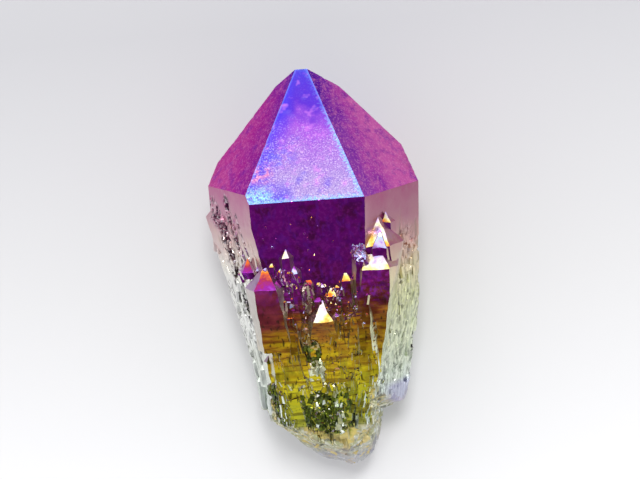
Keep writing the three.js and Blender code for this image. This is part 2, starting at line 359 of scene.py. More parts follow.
def corner_points():
    """One corner between each four rays, closest to all four of the planes that they hit.

    It is the least squares answer to normal . point = distance over the four, pulled slightly to
    the middle of the four hits, so it falls on the edge or corner where those faces meet."""
    normals, middle = four(hit_plane[..., :3]), four(hits).mean(0)
    off = four(hit_plane[..., 3]) - (normals * middle).sum(-1)
    square = np.einsum("kija,kijb->ijab", normals, normals) + EDGE_PULL * np.eye(3)
    move = np.linalg.solve(square, np.einsum("kija,kij->ija", normals, off)[..., None])[..., 0]
    return middle + move


def between_rays(points, margin=0.1):
    """Pushes each corner back between its own rays, so that no face turns over.

    A point's distance from a ray is measured square to it, in the plane through the long axis for
    the rows and across that plane for the columns."""
    turn = np.arctan2(points[..., 0], points[..., 2])
    after = np.roll(azimuths, -1)
    width = (after - azimuths) % (2 * math.pi)
    from_first = (turn - azimuths + math.pi) % (2 * math.pi) - math.pi
    turn = azimuths + np.clip(from_first, margin * width, (1 - margin) * width)
    out = np.hypot(points[..., 0], points[..., 2])
    y = points[..., 1].copy()
    for row, sign in ((slice(0, -1), 1), (slice(1, None), -1)):
        sine, cosine, start = np.sin(polar)[row, None], np.cos(polar)[row, None], core_y[row, None]
        side = sign * ((y - start) * sine - out * cosine)
        short = np.maximum(0, margin * 0.2 - side)
        y += sign * short * sine
        out = np.maximum(out - sign * short * cosine, 0.01)
    return np.stack([out * np.sin(turn), y, out * np.cos(turn)], -1)


corners = between_rays(corner_points())


def mottle(points, size, seed=0.0):
    """Value noise from -1 to 1: a random number at each corner of a lattice, joined smoothly."""
    cell = points / np.asarray(size, float)
    base = np.floor(cell)
    part = cell - base
    part = part * part * (3 - 2 * part)
    total = 0.0
    for step in itertools.product((0, 1), repeat=3):
        at = base + step
        mixed = at[..., 0] * 12.9898 + at[..., 1] * 78.233 + at[..., 2] * 37.719 + seed
        wave = np.sin(mixed) * 43758.5453
        weight = np.prod(np.where(step, part, 1 - part), axis=-1)
        total = total + weight * (wave - np.floor(wave))
    return 2 * total - 1


def ease(low, high, value):
    """Rises smoothly from 0 at low to 1 at high."""
    t = np.clip((value - low) / (high - low), 0, 1)
    return t * t * (3 - 2 * t)


FRONT_BREAK = 0.3  # how much a face of the break has to face the front to carry the front's film
SIDE_FACING = (0.35, 0.8)  # from where to where, turning sideways, a face becomes a flank

# What each ray hit: a face of the tip, of the shaft, or of the break.
is_tip = np.where(on_left, False, (plane >= FIRST_TIP) & (plane <= LAST_TIP))
is_broken = np.where(on_left, left_kinds[left_plane] == END_FACE, plane >= len(body_planes))
is_pit = pit_depth > 0
facing = np.abs(np.sin(np.arctan2(hit_plane[..., 0], hit_plane[..., 2])))
side_face = np.where(on_left, 1.0, ease(*SIDE_FACING, facing))
side_face[is_broken & (hit_plane[..., 2] > FRONT_BREAK)] = 0


def edge_distance(points):
    """Distance inside the second nearest of the body's planes, which is small near an edge."""
    room = body_planes[:, 3] - points @ body_planes[:, :3].T
    return np.sort(room, -1)[..., 1]


# Relief: the grain of the noise along each axis and the depth it sinks to, both in mm.
BREAK_RELIEF = ((2.4, 0.50), (1.0, 0.30), (0.5, 0.16))
CLEFT, CLEFT_DEPTH = (1.1, 0.6, 1.1), 0.5  # clefts in the break
CLEFT_SHADE = 0.6
FLUTE, FLUTE_DEPTH = (0.42, 2.6, 0.42), 0.14  # the flanks' low flutes are long along the axis
FLUTE_HEIGHTS = (9, 4)  # between these heights the flutes begin
STEP, STEP_DEPTH = (7.0, 0.55, 7.0), 0.035  # growth steps round the shaft
STEP_HEIGHTS = (9, 2)
TIP_WAVE, TIP_WAVE_DEPTH = 3.0, 0.02
NICK, NICK_DEPTH = 0.7, 0.06  # nicks along the edges
NICK_REACH = 0.35  # how far from an edge they lie
# Crevices between the crystals follow lines down the flanks; they are sunk and darkened with
# painted shade. Each line is the azimuth and height of its two ends, how wide it is in mm, the
# crevices' width and length, their depth, and how much of the line stays closed, from -1 to 1.
CREVICES = [
    ((-85, 10.0), (-71, 7.0), 1.5, (0.36, 0.6), 0.45, 0.00),
    ((-71, 7.0), (-69, -5.0), 1.6, (0.34, 0.7), 0.45, 0.02),
    ((-64, 10.8), (-58, 6.6), 1.3, (0.34, 0.6), 0.45, 0.00),
    ((-58, 6.6), (-50, 1.0), 1.6, (0.36, 0.7), 0.45, -0.04),
    ((-50, 9.0), (-43, 3.6), 0.6, (0.40, 0.6), 0.40, 0.15),
    ((-66, -4.0), (-64, -13.0), 1.6, (0.24, 0.8), 0.30, 0.25),
    ((-84, -2.0), (-84, -14.0), 1.8, (0.30, 1.0), 0.30, 0.30),
    ((54, 2.0), (52, -16.0), 2.0, (0.20, 0.7), 0.20, 0.20),
    ((72, 4.0), (68, -17.0), 3.0, (0.20, 0.7), 0.20, 0.20),
    ((90, 1.0), (88, -15.0), 2.0, (0.24, 0.9), 0.30, 0.20),
    ((122, 6.0), (122, -16.0), 5.0, (0.40, 1.4), 0.45, 0.20),
    ((-122, 6.0), (-122, -16.0), 5.0, (0.40, 1.4), 0.45, 0.20),
]
CREVICE_CORE = 0.4  # the share of a line's width, from its middle, where crevices are thickest
CREVICE_EDGE = 0.22  # how much the noise has to rise from the rim of a crevice to its floor
DARK_DEPTH = 0.45  # a crevice this deep is fully dark
FLECKED_WIDTH = 1.6  # along wider lines the dark flecks thin out


def line_distance(points, start, end):
    """Distance in mm along the surface to a line, with azimuths turned into mm round the shaft."""
    radius = PRISM_REACH[0]
    a, b = (np.array([math.radians(azimuth) * radius, y]) for azimuth, y in (start, end))
    off = np.stack([np.arctan2(points[..., 0], points[..., 2]) * radius, points[..., 1]], -1) - a
    along = np.clip(off @ (b - a) / ((b - a) @ (b - a)), 0, 1)
    return np.linalg.norm(off - along[..., None] * (b - a), axis=-1)


def crevices(points):
    """How deep each point is sunk in mm, how dark it is there, and how near it is to a line.

    The noise has to pass a threshold that rises from the middle of the line to its edge."""
    sunk, share, near = np.zeros((3, *points.shape[:-1]))
    for start, end, wide, (across, along), depth, closed in CREVICES:
        edge = ease(CREVICE_CORE * wide, wide, line_distance(points, start, end))
        noise = mottle(points, (across, along, across), start[0])
        open_here = ease(0, CREVICE_EDGE, noise - closed - 2 * edge)
        darkness = min(1, depth / DARK_DEPTH)
        sunk = np.maximum(sunk, depth * open_here)
        share = np.maximum(share, open_here * darkness)
        near = np.maximum(near, (1 - edge) * darkness * min(1, FLECKED_WIDTH / wide))
    return sunk, share, near


broken_share = four(is_broken).mean(0)
flank_share = four(np.where(is_tip | is_broken, 0.0, side_face)).mean(0)
shaft_share = four(~(is_tip | is_broken)).mean(0)
crevice_depth, crevice_shade_share, line_share = crevices(corners)
clefts = broken_share * ease(0.45, 0.75, np.abs(mottle(corners, CLEFT, 5.0)))
fluted_share = ease(*FLUTE_HEIGHTS, corners[..., 1]) * flank_share
flutes = ease(0.30, 0.62, mottle(corners, FLUTE, 3.1)) * fluted_share
stepped_share = ease(*STEP_HEIGHTS, corners[..., 1]) * shaft_share
near_edge = ease(NICK_REACH, 0, edge_distance(corners))
relief = (
    crevice_depth * flank_share + CLEFT_DEPTH * clefts + FLUTE_DEPTH * flutes
    + STEP_DEPTH * (1 + mottle(corners, STEP, 7.7)) * stepped_share
    + TIP_WAVE_DEPTH * (1 + mottle(corners, TIP_WAVE, 1.3)) * (1 - shaft_share)
    + NICK_DEPTH * ease(0.25, 0.7, mottle(corners, NICK, 9.0)) * near_edge)
for size, depth in BREAK_RELIEF:
    relief += broken_share * depth * np.abs(mottle(corners, size, size))
inward = -four(rays).mean(0)
inward /= np.linalg.norm(inward, axis=-1, keepdims=True)
lifted = corners + inward * relief[..., None]


def laid_down(points):
    """From the crystal's own axes in mm to the row frame in metres: tipped up by REST_TILT."""
    sine, cosine = math.sin(REST_TILT), math.cos(REST_TILT)
    x, y, z = points[..., 0], points[..., 1], points[..., 2]
    placed = np.stack([x, y * cosine - z * sine, y * sine + z * cosine], -1) + AXES_AT
    placed[..., 2] = np.maximum(placed[..., 2], 0)  # it lies on what would reach below the floor
    return placed * MM


# The hollow at the root and the groove that runs up from it: azimuth and height, from and to.
HOLLOWS = [((-19, 20), (-23.0, -15.0)), ((-8, 1), (-11.0, -7.6)), ((-42, -33), (-20.0, -14.0))]


def in_hollow(azimuth, y):
    """Whether places are in the hollow or in one of the two grooves."""
    return np.any([
        (azimuth > left) & (azimuth < right) & (y > low) & (y < high)
        for (left, right), (low, high) in HOLLOWS], 0)


def above_break(points):
    """Height above the nearest break, square to it. The crystal is what is inside the root's breaks
    or inside the lobe's."""
    within = [(planes[:, 3] - points @ planes[:, :3].T).min(-1) for planes in (root_planes, lobe_planes)]
    return np.maximum(*within)


def put_in_scene(name, data):
    """Adds an object to the scene and gives it back."""
    made = bpy.data.objects.new(name, data)
    bpy.context.scene.collection.objects.link(made)
    return made


def make_piece(name, points, faces, on_points, on_faces, smooth_below=None):
    """Puts points in mm, faces and their attributes into a mesh object that rides on the body."""
    mesh = bpy.data.meshes.new(name)
    mesh.from_pydata(laid_down(points).tolist(), [], faces)
    for domain, values in (("POINT", on_points), ("FACE", on_faces)):
        for key, value in values.items():
            layer = mesh.attributes.new(key, "FLOAT", domain)
            layer.data.foreach_set("value", value.astype(np.float32))
    if smooth_below is not None:
        mesh.shade_smooth()
        mesh.set_sharp_from_angle(angle=math.radians(smooth_below))
    piece = put_in_scene(name, mesh)
    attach(piece, "root")
    return piece


def grown_point():
    """Each ray inside the grid owns the face between the four corners round it. The two end rays
    close the poles with a ring of triangles."""
    number = np.arange((ROWS - 1) * COLUMNS).reshape(ROWS - 1, COLUMNS)
    before = np.roll(number, 1, 1)
    quads = np.stack([before[:-1], number[:-1], number[1:], before[1:]], -1).reshape(-1, 4)
    root_pole, tip_pole = number.size, number.size + 1
    root_fan = np.stack([np.full(COLUMNS, root_pole), number[0], before[0]], -1)
    tip_fan = np.stack([np.full(COLUMNS, tip_pole), before[-1], number[-1]], -1)
    faces = quads.tolist() + root_fan.tolist() + tip_fan.tolist()
    points = np.concatenate([lifted.reshape(-1, 3), lifted[0].mean(0)[None], lifted[-1].mean(0)[None]])

    def per_face(per_ray):
        per_ray = per_ray.astype(float)
        return np.concatenate([per_ray[1:-1].ravel(), per_ray[0], per_ray[-1]])

    front_edge = body_planes[FIRST_TIP, 3] - points @ body_planes[FIRST_TIP, :3]
    on_points = {
        "height": points[:, 1],
        "across": front_edge,
        "rim": edge_distance(points),
        "crevice": np.append(np.maximum(crevice_shade_share * flank_share, CLEFT_SHADE * clefts), (0, 0)),
        "flute": np.append(flutes, (0, 0)),
        "fleck": np.append(line_share * flank_share, (0, 0)),
        "above_break": above_break(points),
        "drop": np.zeros(len(points)),
    }
    on_faces = {
        "tip": per_face(is_tip),
        "side": per_face(side_face),
        "gap": per_face(is_pit),
        "recess": per_face((plane == FRONT_FLANK) & in_hollow(np.degrees(azimuths), hits[..., 1])),
        "tint": per_face(np.zeros_like(reach)),
        "small": per_face(np.zeros_like(reach)),
    }
    return points, faces, on_points, on_faces


crystal_points, crystal_faces, *crystal_values = grown_point()
crystal = make_piece("grown_point", crystal_points, crystal_faces, *crystal_values, smooth_below=22)
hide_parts("aura_quartz_point")

# ------------------------------------------------------------------ the film
# A metal film a few hundred nanometres thick, bonded to the quartz. Its thickness changes along
# the crystal, so its colour runs from violet at the tip to red-brown, gold and green towards the
# root. On the flanks, seen at a low angle, it is painted pale: partly its own colour and partly a
# painted reflection of the pale floor. It is glossy, and coarser where the quartz under it is
# etched. A fresh break has only a whisper of film on it.


def colour(code):
    """An sRGB hex colour as linear red, green, blue and alpha."""
    parts = [int(code[i:i + 2], 16) / 255 for i in (1, 3, 5)]
    return [c / 12.92 if c <= 0.04045 else ((c + 0.055) / 1.055) ** 2.4 for c in parts] + [1.0]


def node(tree, kind, plugs=None, out=0, stops=None, **settings):
    """Adds a shader node and gives back one of its outputs. Settings are its own, plugs are its
    inputs by name or number, each a value, a hex colour or another node's output, and stops are a
    colour ramp's places and hex colours."""
    made = tree.nodes.new("ShaderNode" + kind)
    for key, value in settings.items():
        setattr(made, key, value)
    if stops:
        ramp = made.color_ramp
        while len(ramp.elements) < len(stops):
            ramp.elements.new(1.0)
        for element, (place, code) in zip(ramp.elements, stops):
            element.position = place
            element.color = colour(code)
    for key, value in (plugs or {}).items():
        if isinstance(value, bpy.types.NodeSocket):
            tree.links.new(value, made.inputs[key])
        else:
            made.inputs[key].default_value = colour(value) if isinstance(value, str) else value
    return made.outputs[out] if made.outputs else made


def shader_of(owner):
    """Clears the nodes of a material or world and gives back the function that adds to them."""
    owner.use_nodes = True
    owner.node_tree.nodes.clear()
    return functools.partial(node, owner.node_tree)


film = bpy.data.materials.new("coated_quartz")
add = shader_of(film)

in_mm = add("VectorMath", {0: add("TexCoord", out=3), 3: 1 / MM}, operation="SCALE")
height, across, rim, crevice, flute, fleck, over_break, drop, tip, side, gap, recess, tint, small = (
    add("Attribute", out=2, attribute_name=name) for name in (
        "height", "across", "rim", "crevice", "flute", "fleck", "above_break", "drop",
        "tip", "side", "gap", "recess", "tint", "small"))


def grain(size, low, high, to_low=0.0, to_high=1.0, stretch=(1, 1, 1), detail=2.0):
    """Noise with spots about this many mm across, longer along an axis where stretch is below 1.
    Its values from low to high become to_low to to_high."""
    placed = add("Mapping", {0: in_mm, 3: [s / size for s in stretch]})
    noise = add("TexNoise", {0: placed, "Scale": 1.0, "Detail": detail, "Roughness": 0.55})
    return add("MapRange", {0: noise, 1: low, 2: high, 3: to_low, 4: to_high})


def wavering(value, *noise):
    """A value that grain shifts to and fro."""
    return add("Math", {0: value, 1: grain(*noise)}, operation="ADD")


def product(*shares):
    """Several shares multiplied together."""
    total = shares[0]
    for share in shares[1:]:
        total = add("Math", {0: total, 1: share}, operation="MULTIPLY")
    return total


def zone(*limits):
    """A region with soft edges. Each limit is a value, where it starts and where it is full, and the
    shares at those two places where they aren't 0 and 1. The limits are multiplied together."""
    return product(*(add("MapRange", dict(enumerate(limit))) for limit in limits))


def layered(base, *layers):
    """Lays colours over a base one after the other, each by its share."""
    for share, over in layers:
        base = add("Mix", {0: share, 6: base, 7: over}, 2, data_type="RGBA")
    return base


def along_ramp(value, span, stops):
    """A colour for each value in mm within the span. The stops give (value, hex)."""
    low, high = span
    placed = sorted(((place - low) / (high - low), code) for place, code in stops)
    return add("ValToRGB", {0: zone((value, low, high))}, stops=placed)


SHAFT_SPAN, TIP_SPAN, TIP_SIDE_SPAN = (-27.0, 13.0), (8.0, 28.0), (0.0, 10.0)
GOLD_RISE = 0.14  # each colour lies this many mm higher for each mm further right
along_x = add("SeparateXYZ", {0: in_mm})
moved = wavering(height, 3.0, 0.25, 0.75, -1.6, 1.6)
streaked = wavering(moved, 0.9, 0.3, 0.7, -1.8, 1.8, (0.3, 1.6, 1.0), 3.0)
streaked = add("Math", {0: along_x, 1: -GOLD_RISE, 2: streaked}, operation="MULTIPLY_ADD")
not_side, not_tip, not_small = (
    add("Math", {0: 1.0, 1: share}, operation="SUBTRACT") for share in (side, tip, small))

# The shaft: violet to gold and green in front, mauve to a greenish white on the flanks, where the
# pale colour is partly a painted reflection of the floor. Growth lines run across the front. Real
# ones lie closer together, and are drawn 0.6 mm wide to show.
shaft_front = along_ramp(streaked, SHAFT_SPAN, [
    (12, "#78067e"), (5, "#6e0876"), (-0.6, "#6e0e5c"), (-2.0, "#58181e"), (-3.9, "#642c10"),
    (-6.2, "#885a0e"), (-9.5, "#a6860e"), (-13, "#baa816"), (-17, "#a4a21c"), (-20, "#8e9030"),
    (-23, "#a9a765"), (-26, "#c9cab4")])
violet = zone((height, -4.0, -1.0))
growth_lines = product(
    grain(0.62, 0.50, 0.62, stretch=(0.16, 1.0, 0.6)), not_side, not_tip,
    zone((height, -2.0, -6.0, 0.0, 0.7)))
# Painted shade: near-black streaks down the lower front, in the crevices between the ribs.
split_shade = product(
    grain(0.5, 0.60, 0.68, stretch=(1.0, 0.2, 1.0)), not_side, not_tip,
    zone((height, -1.0, -5.0, 0.0, 0.8)))
shaft_front = layered(
    shaft_front,
    (product(grain(1.4, 0.46, 0.64, 0.0, 0.5), violet), "#4c0468"),
    (product(grain(2.6, 0.53, 0.64, 0.0, 0.6), violet), "#460a1e"),
    (product(grain(0.5, 0.50, 0.64, 0.0, 0.3), violet), "#9a2a98"),
    (product(grain(1.1, 0.52, 0.66, 0.0, 0.5, (1.6, 0.8, 1.0)), violet), "#701c98"),
    # Painted shade: olive streaks down the gold, at the edges of the ribs.
    (product(
        grain(1.5, 0.50, 0.60, 0.0, 0.55, (1.0, 0.15, 1.0)), zone((height, -8.0, -12.0))), "#5c5c18"),
    (product(
        grain(1.3, 0.52, 0.60, 0.0, 0.45, (1.0, 0.8, 1.0)),
        zone((along_x, 0.0, 3.0), (height, -3.5, -5.0), (height, -14.0, -11.5))), "#784818"),
    (zone((along_x, -3.6, -4.6, 0.0, 0.75), (height, 1.0, -1.0), (height, -6.5, -5.0)), "#641c2c"),
    (growth_lines, along_ramp(moved, SHAFT_SPAN, [
        (-3, "#3a0c1c"), (-7, "#521c08"), (-13, "#6a4408"), (-20, "#3c4414"), (-25, "#7a7a58")])),
    (split_shade, "#1c1606"))
# The flanks: partly the film's own colour, partly a painted reflection of the pale floor.
shaft_side = along_ramp(moved, SHAFT_SPAN, [
    (12, "#bc6894"), (8, "#c494a4"), (4, "#d0aea4"), (0, "#d8cba8"), (-4, "#d8dbac"),
    (-10, "#dde4c4"), (-17, "#dde8de"), (-25, "#e4ecee")])
# Whiter still on the left flank, as part of that painted reflection.
leftwards = zone((along_x, 0.0, -9.0), (height, 7.0, -1.0), (height, -9.0, -16.0, 0.85, 0.3))
lower_left = zone((along_x, -5.0, -7.0), (height, -7.0, -13.0, 0.0, 0.45))
low_green = product(
    grain(0.8, 0.45, 0.65, stretch=(1.0, 0.3, 1.0)),
    zone((along_x, 4.0, 9.0, 0.0, 0.5), (height, 2.0, -10.0)))
# Painted shade: the right flank is darker mauve at its upper end, beside the crystals on the right
# shoulder.
upper_right_shade = zone((along_x, 6.0, 9.0, 0.0, 0.46), (height, 1.0, 7.0))
etched = product(
    grain(0.36, 0.50, 0.64, stretch=(1.0, 0.22, 1.0)),
    zone((height, 4.0, -5.0, 0.0, 0.5), (along_x, -4.0, 0.0, 0.4, 1.0)))
shaft_side = layered(
    shaft_side, (leftwards, "#f2f3f2"), (lower_left, "#b4bcb2"), (low_green, "#9fb09a"),
    (upper_right_shade, "#803450"), (etched, "#727c6c"))
shaft = layered(shaft_front, (side, shaft_side))

# The large tip: lavender in front and bluer to the apex, with a painted cyan highlight along its edges.
# Magenta at the sides.
tip_front = along_ramp(moved, TIP_SPAN, [
    (9, "#9688ae"), (13, "#907aae"), (17, "#8c60ae"), (20, "#8444ae"), (22.5, "#4a22a4"),
    (27, "#3c2eac")])
# Painted highlight: cyan along the large tip's rim, strongest along its right and lower edges.
ragged_rim = wavering(rim, 0.32, 0.3, 0.7, -0.35, 0.35)
lit_edge = add("Math", {
    0: zone((along_x, -1.0, 1.0), (moved, 23.0, 19.0, 0.15, 1.0)), 1: zone((height, 12.5, 11.0))
}, operation="MAXIMUM")
tip_front = layered(
    tip_front,
    (zone((rim, 2.4, 0.4, 0.0, 0.8), (along_x, -0.6, -2.0)), "#3a2cb8"),
    (product(
        grain(0.8, 0.38, 0.54),
        zone((along_x, -3.4, -4.8, 0.0, 0.75), (height, 13.2, 14.0), (height, 16.2, 15.2))), "#d07890"),
    (product(
        grain(1.0, 0.42, 0.56),
        zone((along_x, 0.0, -2.0, 0.0, 0.6), (height, 14.8, 15.8), (height, 18.2, 17.0))), "#5050c0"),
    (grain(1.6, 0.56, 0.74, 0.0, 0.5), "#c878cc"),
    (grain(2.2, 0.56, 0.72, 0.0, 0.6, (1.0, 1.0, 1.4)), "#5848b4"),
    (product(grain(0.4, 0.34, 0.56), zone((along_x, -3.4, -4.8), (height, 13.4, 11.9))), "#7cb8dc"),
    (product(zone((ragged_rim, 0.5, 0.0, 0.0, 0.85)), lit_edge), "#7cb4e4"),
    (zone((rim, 0.20, 0.0, 0.0, 0.6)), "#6c86e0"))
tip_side = along_ramp(wavering(across, 3.0, 0.25, 0.75, -1.2, 1.2), TIP_SIDE_SPAN, [
    (0, "#3c00a0"), (1.4, "#5c00a0"), (3.2, "#9c289c"), (5.5, "#c85ca4"), (7.5, "#c858a0"),
    (9.5, "#a44878")])
tip_side = layered(
    tip_side,
    (zone((along_x, -1.0, -5.0, 0.0, 0.6)), "#b0107c"),
    (zone((along_x, -8.5, -12.0, 0.0, 0.5), (height, 16.0, 10.0)), "#d87898"),
    (zone((along_x, 2.0, 6.0, 0.0, 0.3)), "#e070c4"),
    (grain(1.6, 0.50, 0.68, 0.0, 0.55), "#64089c"),
    (grain(0.9, 0.50, 0.70, 0.0, 0.45), "#dc7cb0"),
    (grain(0.26, 0.52, 0.66, 0.0, 0.4, detail=1.0), "#e8a0c8"))

# Small tips: each has its tint, and it deepens from the apex down. The white and cream tints are partly
# the film's colour and partly painted glints.
DEEPENING = 0.17
shade = add("Math", {0: drop, 1: DEEPENING, 2: tint}, operation="MULTIPLY_ADD")
shade = wavering(shade, 1.3, 0.3, 0.7, -0.09, 0.09)
tip_upper = add("ValToRGB", {0: shade}, stops=[
    (0.0, "#a898cc"), (0.03, "#ccb0cc"), (0.08, "#d6ceb8"), (0.16, "#dcbc5c"), (0.24, "#cc6418"),
    (0.33, "#8a2440"), (0.44, "#7a1a80"), (0.55, "#9a48b4"), (0.60, "#c4acd8"), (0.70, "#9cb0dc"),
    (0.80, "#ac98d4"), (0.87, "#5a1c58"), (0.95, "#3a1420")])
tip_lower = add("ValToRGB", {0: shade}, stops=[
    (0.0, "#f4f4ea"), (0.10, "#dfe0b0"), (0.22, "#c9bb3a"), (0.40, "#747420"), (0.55, "#3c5018"),
    (0.70, "#2f3a18"), (0.82, "#6c4214"), (0.92, "#3a2410")])
tip_small = layered(
    tip_upper,
    (zone((moved, -4.0, -8.0)), tip_lower),
    (product(side, 0.8), layered(shaft_side, (0.55, "#7a3a78"))))
coated = layered(shaft, (tip, layered(tip_front, (side, tip_side), (small, tip_small))))

# Over the film: the hollow at the root, the etched tip's grain, the crevices and the break. The
# hollow, the crevices, the flutes, the pits and the break's notches are darkened with painted
# shade. The tip's grain is white painted glints and dark specks, the crevices carry dark flecks of
# painted shade and white painted glints, and the break has painted highlights. The tip's grain and
# the crevices' flecks are really finer, and are drawn 0.2 to 0.4 mm wide to show.
# The hollow at the root: the film's green, darkened further with painted shade.
hollow_green_shade = layered("#1c2c10", (grain(0.5, 0.4, 0.6), "#5c6c1e"))
# The break, with almost no film: its dark grey patches and streaks are painted shade in its notches, and
# its palest patches are painted highlights.
bare = layered(
    "#a4a67c",
    (grain(0.8, 0.52, 0.66, 0.0, 0.8), "#70736c"),
    (grain(0.45, 0.55, 0.68), "#e0dec2"),
    (grain(1.6, 0.52, 0.66, 0.0, 0.6), "#ccb070"),
    (grain(2.0, 0.54, 0.62, 0.0, 0.7, (0.6, 1.6, 1.0)), "#3e4246"),
    (grain(1.8, 0.46, 0.38, 0.0, 0.4, (0.8, 1.4, 1.0)), "#dcdfe0"),
    (zone((height, -23.5, -26.5, 0.0, 0.6)), "#a4a4ba"))
# Painted shade in the crevices and clefts, its colour changing with height.
crevice_shade_colour = along_ramp(height, SHAFT_SPAN, [
    (10, "#642848"), (3, "#582838"), (-3, "#5c5240"), (-12, "#5c6654"), (-20, "#6c7272")])
# Painted shade in the flecks along the crevices, its colour changing with height.
fleck_shade_colour = along_ramp(height, SHAFT_SPAN, [
    (9, "#3c0c34"), (2, "#240c14"), (-4, "#20201a"), (-14, "#343c30")])
ragged_break = wavering(over_break, 0.8, 0.3, 0.7, -0.35, 0.35)
from_middle = add("Math", {0: along_x}, operation="ABSOLUTE")
below_film = add("Math", {
    0: zone((height, -20.2, -21.0)), 1: zone((from_middle, 6.2, 6.9))
}, operation="MAXIMUM")
near_root = product(zone((height, -12.0, -16.0)), below_film)
on_large_tip = product(zone((moved, 21.5, 18.0, 0.06, 1.0)), tip, not_side, not_small)
base = layered(
    coated,
    (product(recess, not_tip, 0.9), hollow_green_shade),
    # Painted glints: white specks on the large tip, with dark specks between them, for its etched grain.
    (product(grain(0.20, 0.52, 0.68, detail=1.0), on_large_tip, 0.22), "#fcf0ff"),
    (product(grain(0.18, 0.50, 0.36, detail=1.0), on_large_tip, 0.46), "#4a2c98"),
    # Painted shade in the flanks' flutes.
    (product(flute, 0.35), "#5a5a48"),
    # Painted shade in the crevices and the break's clefts.
    (zone((crevice, 0.0, 0.6, 0.0, 0.95)), crevice_shade_colour),
    # Painted shade: dark flecks along the crevice lines.
    (product(fleck, grain(0.42, 0.51, 0.56, 0.0, 0.97, (1.0, 0.45, 1.0), 1.0)), fleck_shade_colour),
    # Painted glints: white flecks along the same lines.
    (product(fleck, grain(0.30, 0.43, 0.37, 0.0, 0.5, (1.0, 0.6, 1.0), 1.0)), "#efe6ec"),
    # Painted shade in the pits.
    (product(gap, 0.85), "#33202c"),
    (product(zone((ragged_break, 1.3, 0.8, 0.0, 0.75)), near_root, not_side), "#cdb870"),
    (product(zone((ragged_break, 0.6, 0.4)), near_root), bare),
    (zone((along_x, 8.0, 9.2, 0.0, 0.6), (height, -15.6, -16.6)), "#a8a4cc"))
is_bare = product(zone((over_break, 0.6, 0.2)), near_root)

BUMP_SHARE = 0.6  # of the bump's distance, down in the growth lines and up in the etching
bumps = add("Math", {
    0: growth_lines, 1: -BUMP_SHARE, 2: grain(0.30, 0.0, 1.0, 0.0, BUMP_SHARE, detail=1.0)
}, operation="MULTIPLY_ADD")
surface = add("BsdfPrincipled", {
    "Base Color": base,
    "Metallic": add("Math", {0: is_bare, 1: -0.7, 2: 0.95}, operation="MULTIPLY_ADD"),
    "Roughness": add("Math", {0: is_bare, 1: 0.3, 2: 0.28}, operation="MULTIPLY_ADD"),
    "Normal": add("Bump", {"Strength": 0.5, "Distance": 0.04 * MM, "Height": bumps}),
    "Specular Tint": layered("#ffffff", (product(tip, side), "#ffa8ff")),
    "Coat Weight": 0.08,
    "Coat Roughness": 0.12,
})
add("OutputMaterial", {0: surface})
crystal.data.materials.append(film)

# ------------------------------------------------------------------ the side crystals
# About 180 smaller crystals that stand parallel to the large one, on its corners, in a band across
# the front face, as long ribs below it, and sown round it. They are quartz too and carry the same
# film. Each tip catches the light at the same angle as the large tip's faces.


def flat_faced(planes):
    """The corners and faces of what lies behind the planes.

    Each three planes meet in one point, and the points behind all the planes are the corners. A
    face is the corners on one plane, taken in order of their angle round the face's middle."""
    triples = np.array(list(itertools.combinations(range(len(planes)), 3)))
    square = planes[triples][..., :3]
    solid = np.abs(np.linalg.det(square)) > 1e-6
    points = np.linalg.solve(square[solid], planes[triples[solid]][..., 3][..., None])[..., 0]
    points = points[(points @ planes[:, :3].T <= planes[:, 3] + 1e-6).all(1)]
    points = np.unique(points.round(5), axis=0)
    faces, owners = [], []
    for owner, (nx, ny, nz, distance) in enumerate(planes):
        normal = np.array([nx, ny, nz])
        on = np.flatnonzero(np.abs(points @ normal - distance) < 1e-4)
        if len(on) < 3:
            continue
        spokes = points[on] - points[on].mean(0)
        first = spokes[0] / np.linalg.norm(spokes[0])
        angle = np.arctan2(spokes @ np.cross(normal, first), spokes @ first)
        faces.append(on[np.argsort(angle)])
        owners.append(owner)
    return points, faces, owners


# Small crystals on the flanks, and the sides of those in front, take the flanks' pale colour, which is
# partly a painted reflection of the floor.
PALE_FROM, PALE_TO = 48, 58  # azimuths between which small crystals turn as pale as the flanks
BACK_FROM, BACK_TO = 128, 140  # and between which they take the full colours again, on the back
TIP_TINT_STEP = 0.06  # neighbouring tip faces differ a little in tint


def paleness(azimuth, tint):
    """1 for a crystal on a flank, 0 for one on the front or on the back. Tints above 1 are silvery
    too, and fully so at 2."""
    turned = apart(azimuth, 0)
    on_flank = ease(PALE_FROM, PALE_TO, turned) * ease(BACK_TO, BACK_FROM, turned)
    return np.maximum(on_flank, ease(1, 2, tint))


SIDE_SHARE = 0.3  # how much the sides of small crystals in front take the flanks' paler colour
PALE_SIDES = (22, 32)  # azimuths between which those sides turn as pale as the flanks
TIP_CUT = (0.35, 0.05, 0.35, 0.05, 0.35, 0.05)  # most that each tip face is set back, in reaches
PLACED_CUT = 0.12  # tips on the corners and the face are set back by this share of that
CLEAN_REACH = 1.5  # those that reach further than this carry no druse
FAR_FROM_RIM = 9  # past the blue band and the painted highlight along the large tip's rim


def small_values(points, drops, kinds, azimuth, tints, recess):
    """What the film needs to know about small crystals, for their points and for their faces."""
    is_tip, is_side = (kinds >= 6) & (kinds < END_FACE), kinds % 3 > 0
    pale = paleness(azimuth, tints)
    sides = SIDE_SHARE + (1 - SIDE_SHARE) * ease(*PALE_SIDES, np.abs(azimuth))
    zeros, none = np.zeros(len(points)), np.zeros(len(kinds))
    on_points = {
        "height": points[:, 1], "across": zeros, "rim": zeros + FAR_FROM_RIM, "crevice": zeros,
        "flute": zeros, "above_break": above_break(points), "drop": drops}
    on_faces = {
        "tip": is_tip & (pale < 0.5),
        "side": np.maximum(np.where(is_tip, 1.0, sides) * is_side, pale),
        "gap": none, "recess": none + recess, "small": none + 1,
        "tint": tints + TIP_TINT_STEP * (kinds % 6)}
    return on_points, on_faces


